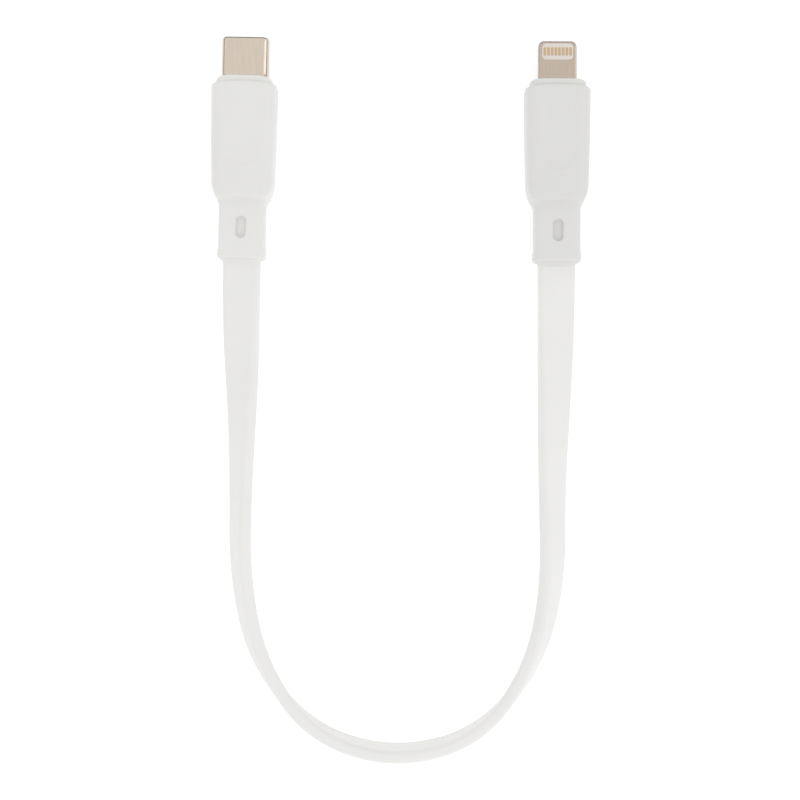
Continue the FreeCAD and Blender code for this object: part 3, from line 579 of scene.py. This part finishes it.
def make_handle(plug, finishes):
    """The outer handle: a swollen sleeve with a dished oval panel on its top."""
    half_height = plug.span(f"{plug.kind}_grip")[1].z
    stations = []
    fine = along(GRIP_REAR, GRIP_REAR + 4, 0.1)
    for y in fine + along(GRIP_REAR + 4.3, GRIP_FRONT - GRIP_EDGE, 0.3):
        height = blend(NECK_HALF_HEIGHT, half_height, smooth((y - GRIP_REAR) / GRIP_RISE))
        corner = blend(NECK_CORNER, GRIP_CORNER, smooth((y - GRIP_REAR) / 4))
        stations.append((y, grip_width(y), height, corner))
    for k in range(1, 9):
        angle = math.pi / 2 * k / 8
        y = GRIP_FRONT - GRIP_EDGE * (1 - math.sin(angle))
        inset = GRIP_EDGE * (1 - math.cos(angle))
        corner = GRIP_CORNER - 0.4 * inset
        stations.append((y, grip_width(y) - 0.35 * inset, half_height - inset, corner))
    outside = len(stations)
    # The bore is wide round the collar and narrow round the neck.
    stations.append((GRIP_FRONT, 5.03, 2.72, 1.5))
    stations.append((14.6, 5.03, 2.72, 1.5))
    stations.append((14.5, 4.16, 2.29, 1.2))
    stations.append((GRIP_REAR, 4.16, 2.29, 1.2))

    profile = [(0, 0), (0.06, 0.004), (0.13, 0.02), (0.21, 0.045), (0.3, 0.06)]
    for k in range(1, 9):
        inwards = blend(0.3, PANEL_HALF_WIDTH - 0.15, k / 8)
        dish = 1 - (1 - inwards / PANEL_HALF_WIDTH) ** 2
        profile.append((inwards, blend(0.06, PANEL_DEPTH, dish)))
    panel = Recess(1, PANEL_MIDDLE, PANEL_HALF_WIDTH, PANEL_HALF_LENGTH, profile)
    skin = Skin(plug, stations, GRIP_STEPS, outside, bowed)
    skin.close([panel])
    return dress(skin.finish(f"{plug.kind}_handle"), "white_grip", finishes, f"{plug.kind}_grip")


def make_neck(plug, finishes):
    """The soft neck: a block with an oval dimple in each face, a rear lip and a hole for the cord."""
    front = plug.span(f"{plug.kind}_strain_relief")[1].y
    stations = []

    def ring(y, inset):
        lip = LIP_WIDTH * (1 - smooth((y - LIP_LENGTH) / LIP_RUN_OUT))
        stations.append((y, grip_width(y) + lip - inset, NECK_HALF_HEIGHT - inset, NECK_CORNER))

    for k in range(8):
        angle = math.pi / 2 * k / 7
        ring(NECK_EDGE * (1 - math.cos(angle)), NECK_EDGE * (1 - math.sin(angle)))
    for y in along(NECK_EDGE + 0.2, GRIP_REAR, 0.22):
        ring(y, 0)
    # Inside the handle the neck is narrower, and ends in a flange.
    stations.append((GRIP_REAR, 4.12, 2.27, 1.2))
    stations.append((13.25, 4.12, 2.27, 1.2))
    stations.append((13.3, 4.9, 2.35, 1.2))
    stations.append((front, 4.9, 2.35, 1.2))
    outside = len(stations)
    # The hole for the cord, and the small boss that runs out along the cord behind the neck.
    stations.append((front, 3.25, 1.18, 0.8))
    stations.append((6, 3.15, 1.05, 0.75))
    stations.append((-BOSS_LENGTH, 3.15, 1.05, 0.75))
    for y in along(-BOSS_LENGTH, 0, 0.15):
        rise = (1 + y / BOSS_LENGTH) ** 2
        stations.append((y, 3.2 + 0.25 * rise, 1.1 + 0.5 * rise, 0.8 + 0.2 * rise))

    profile = [(-0.12, -0.015), (-0.05, -0.012), (0, 0.02), (0.04, 0.08), (0.07, 0.2)]
    for inwards, left in ((0.12, 0.25), (0.17, 0.1), (0.27, 0.02), (0.4, 0), (0.6, 0.01)):
        profile.append((inwards, DIMPLE_DEPTH - left))
    dimples = [
        Recess(side, DIMPLE_MIDDLE, DIMPLE_HALF_WIDTH, DIMPLE_HALF_LENGTH, profile)
        for side in (1, -1)
    ]
    skin = Skin(plug, stations, NECK_STEPS, outside, crowned)
    skin.close(dimples)
    piece = skin.finish(f"{plug.kind}_neck")
    return dress(piece, "white_soft", finishes, f"{plug.kind}_strain_relief")


def make_collar(plug, finishes, round_off):
    """The hard inner moulding, whose front stands out of the handle as a thin arched collar."""
    rear = plug.span(f"{plug.kind}_inner_mould")[0].y
    shoulder = COLLAR_FRONT - round_off
    stations = []

    def ring(y):
        nose = max(0, (y - shoulder) / round_off)
        width = blend(COLLAR_HALF_WIDTH, 4.86, smooth((y - 30) / 2))
        width -= round_off * (1 - math.sqrt(1 - nose ** 2))
        stations.append((y, width, COLLAR_HALF_HEIGHT, COLLAR_CORNER))

    stations.append((rear, COLLAR_HALF_WIDTH, COLLAR_HALF_HEIGHT, COLLAR_CORNER))
    for y in along(15.5, shoulder, 1.5):
        ring(y)
    for k in range(1, 11):
        ring(shoulder + round_off * 0.97 * math.sin(math.pi / 2 * k / 10))
    outside = len(stations)
    for k in range(1, 6):
        angle = math.pi / 2 * k / 5
        y, width, _, corner = stations[outside - 1]
        inset = COLLAR_EDGE * (1 - math.cos(angle))
        height = COLLAR_HALF_HEIGHT - inset
        stations.append((y + 0.05 * math.sin(angle), width - inset, height, corner))
    tip = TIPS[plug.kind]
    stations.append((COLLAR_FRONT + 0.05, *tip))
    stations.append((28, *tip))
    stations.append((27.9, 4.5, 1.95, 0.6))
    stations.append((rear, 4.5, 1.95, 0.6))

    skin = Skin(plug, stations, COLLAR_STEPS, outside, crowned)
    skin.close()
    piece = skin.finish(f"{plug.kind}_collar")
    return dress(piece, "white_collar", finishes, f"{plug.kind}_inner_mould")


def make_tube(plug, finishes):
    """The drawn metal tube of the type C plug, flared at the collar and with a rolled front edge."""
    low, high = plug.span("type_c_shell")
    half_width, half_height, corner = high.x, high.z, TUBE_CORNER
    stations = []
    for y in (low.y, COLLAR_FRONT + 0.1):
        stations.append((y, *(size + TUBE_FLARE for size in (half_width, half_height, corner))))
    for y in along(COLLAR_FRONT + 0.4, high.y - TUBE_LIP, 0.5):
        stations.append((y, half_width, half_height, corner))
    for k in range(1, 13):
        angle = math.pi / 2 * k / 12
        inset = TUBE_WALL * (1 - math.cos(angle))
        y = high.y - TUBE_LIP * (1 - math.sin(angle))
        stations.append((y, half_width - inset, half_height - inset, corner - inset))
    outside = len(stations)
    for y in (high.y - 0.05, low.y):
        stations.append((y, *(size - TUBE_WALL for size in (half_width, half_height, corner))))
    skin = Skin(plug, stations, TUBE_STEPS, outside, straight)
    skin.close()
    return dress(skin.finish("type_c_tube"), "connector_metal", finishes, "type_c_shell")


# ---------------------------------------------------------------------------- the studio


def make_camera():
    """The camera above the cable, with the focal length that gives the view's width."""
    low, high = (Vector(corner) for corner in CAD_BOX)
    middle = (low + high) / 2
    data = bpy.data.cameras.new("camera")
    data.sensor_width = SENSOR_WIDTH
    data.lens = SENSOR_WIDTH * (CAMERA_HEIGHT - CORD_HEIGHT) / VIEW_WIDTH
    data.clip_start = 0.01
    camera = bpy.data.objects.new("camera", data)
    camera.location = (0, middle.y, CAMERA_HEIGHT)
    bpy.context.scene.collection.objects.link(camera)
    bpy.context.scene.camera = camera


def make_floor():
    """A pale floor that is a little luminous, as a lit white table is."""
    mesh = bmesh.new()
    bmesh.ops.create_grid(mesh, x_segments=8, y_segments=8, size=1.5)
    floor = add_mesh("floor", mesh)
    floor.location.z = -0.00003
    finish = Finish("pale_floor", 0.9, Emission_Color=(1, 1, 1, 1), Emission_Strength=0.62)
    finish.tint(finish.grain(40), (0.49, 0.49, 0.49), (0.51, 0.51, 0.51))
    finish.shine(finish.grain(8), 0.85, 0.95)
    floor.data.materials.append(finish.material)


def make_sky():
    """Soft even light from all round."""
    world = bpy.data.worlds.new("studio")
    world.use_nodes = True
    background = world.node_tree.nodes["Background"]
    background.inputs["Color"].default_value = (1, 1, 1, 1)
    background.inputs["Strength"].default_value = 1.0
    bpy.context.scene.world = world


def make_flag(name, place, width, height):
    """A dark card that stands on the floor facing the cable, so that metal edges show a dark line."""
    x, y = place
    aside = Vector((-y, x, 0)).normalized() * width / 2
    foot = Vector((x, y, 0))
    corners = [foot - aside, foot + aside, foot + aside + UP * height, foot - aside + UP * height]
    mesh = bmesh.new()
    mesh.faces.new([mesh.verts.new(corner) for corner in corners])
    flag = add_mesh(name, mesh)
    flag.visible_camera = False
    flag.visible_diffuse = False
    finish = Finish(name, 0.9)
    finish.tint(finish.grain(30), (0.1, 0.1, 0.1), (0.12, 0.12, 0.12))
    flag.data.materials.append(finish.material)


def make_light(name, place, aim, width, length, power, diffuse=True):
    """A soft light that the camera doesn't see; without diffuse it shows in glossy surfaces only."""
    data = bpy.data.lights.new(name, "AREA")
    data.shape = "RECTANGLE"
    data.size = width
    data.size_y = length
    data.energy = power
    light = bpy.data.objects.new(name, data)
    light.location = place
    light.visible_camera = False
    light.visible_diffuse = diffuse
    light.rotation_euler = (Vector(aim) - Vector(place)).to_track_quat("-Z", "Y").to_euler()
    bpy.context.scene.collection.objects.link(light)


def make_studio():
    """The camera, the pale floor, even light, dark cards for the metal's edges, and two soft lights."""
    make_camera()
    make_floor()
    make_sky()
    make_flag("flag_front", (0, 0.8), 1.8, 0.6)
    make_flag("flag_left", (-0.8, 0), 1.6, 0.2)
    make_flag("flag_right", (0.8, 0), 1.6, 0.15)
    make_light("key", (0.2, -0.5, 0.42), (0, -0.04, 0), 0.3, 0.3, 0.4)
    make_light("strip", (0.6, 0.25, 0.6), (0, 0, 0), 0.1, 0.6, 0.2, diffuse=False)
    bpy.context.scene.view_settings.view_transform = "Standard"


# ---------------------------------------------------------------------------- the cable


def dress_frame(finishes):
    """The CAD pieces that stay take the finish of their own slot."""
    for part in frame["record"]["subparts"]:
        data = frame["nodes"][part["node"]].data
        data.materials.clear()
        data.materials.append(finishes[part["material_slot"]])


def make_cable():
    """The cable: the finishes on the CAD pieces and the pieces drawn anew."""
    finishes = make_finishes()
    dress_frame(finishes)
    type_c, eight_pin = Plug("type_c"), Plug("eight_pin")
    jacket, line = make_jacket()
    dress(jacket, "cord_jacket", finishes, "cord_jacket")
    make_handle(type_c, finishes)
    make_neck(type_c, finishes)
    make_collar(type_c, finishes, 0.85)
    make_tube(type_c, finishes)
    on_cord = [
        make_handle(eight_pin, finishes),
        make_neck(eight_pin, finishes),
        make_collar(eight_pin, finishes, 0.5),
    ]
    redrawn = [f"eight_pin_{part}" for part in ("grip", "strain_relief", "inner_mould")]
    for name, node in frame["nodes"].items():
        if "_wire_" in name or (name.startswith("eight_pin_") and name not in redrawn):
            on_cord.append(node)
    type_c.place(0, 0, 0)


make_studio()
make_cable()
